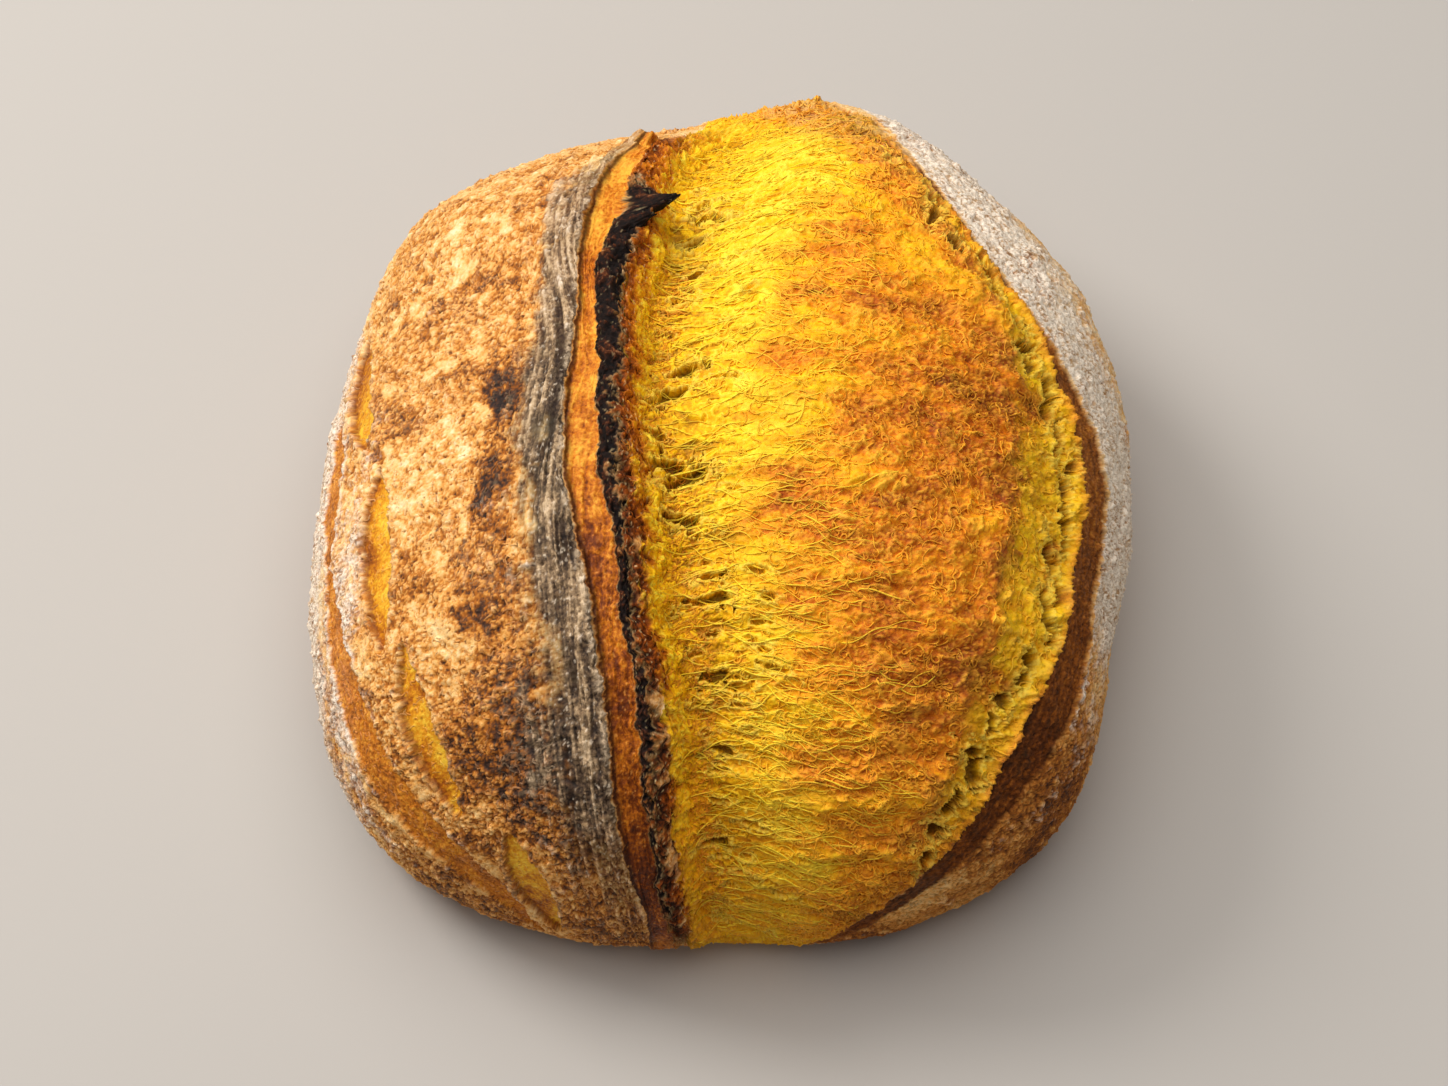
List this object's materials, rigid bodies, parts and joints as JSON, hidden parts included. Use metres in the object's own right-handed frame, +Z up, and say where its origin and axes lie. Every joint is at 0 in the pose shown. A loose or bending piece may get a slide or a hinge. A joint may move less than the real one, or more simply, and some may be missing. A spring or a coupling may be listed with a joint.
{
  "type": "sourdough loaf",
  "caption": "Round sourdough loaf baked as one piece, flat underneath, burst open along a lengthwise score beside a raised charred ear, with a row of small leaf slashes on one side.",
  "frame": {"origin": "on the table, under the middle of the loaf's bounding box", "axes": "+Z up, +Y along the score towards the back of the loaf, +X towards the burst side, away from the ear and the small slashes"},
  "size_m": [0.2096, 0.2332, 0.1082],
  "materials": {
    "crust": "baked crust, matt and blistered, with a yellow crumb showing in the burst"
  },
  "bodies": {
    "root": {"loaf": "crust"}
  },
  "joints": []
}
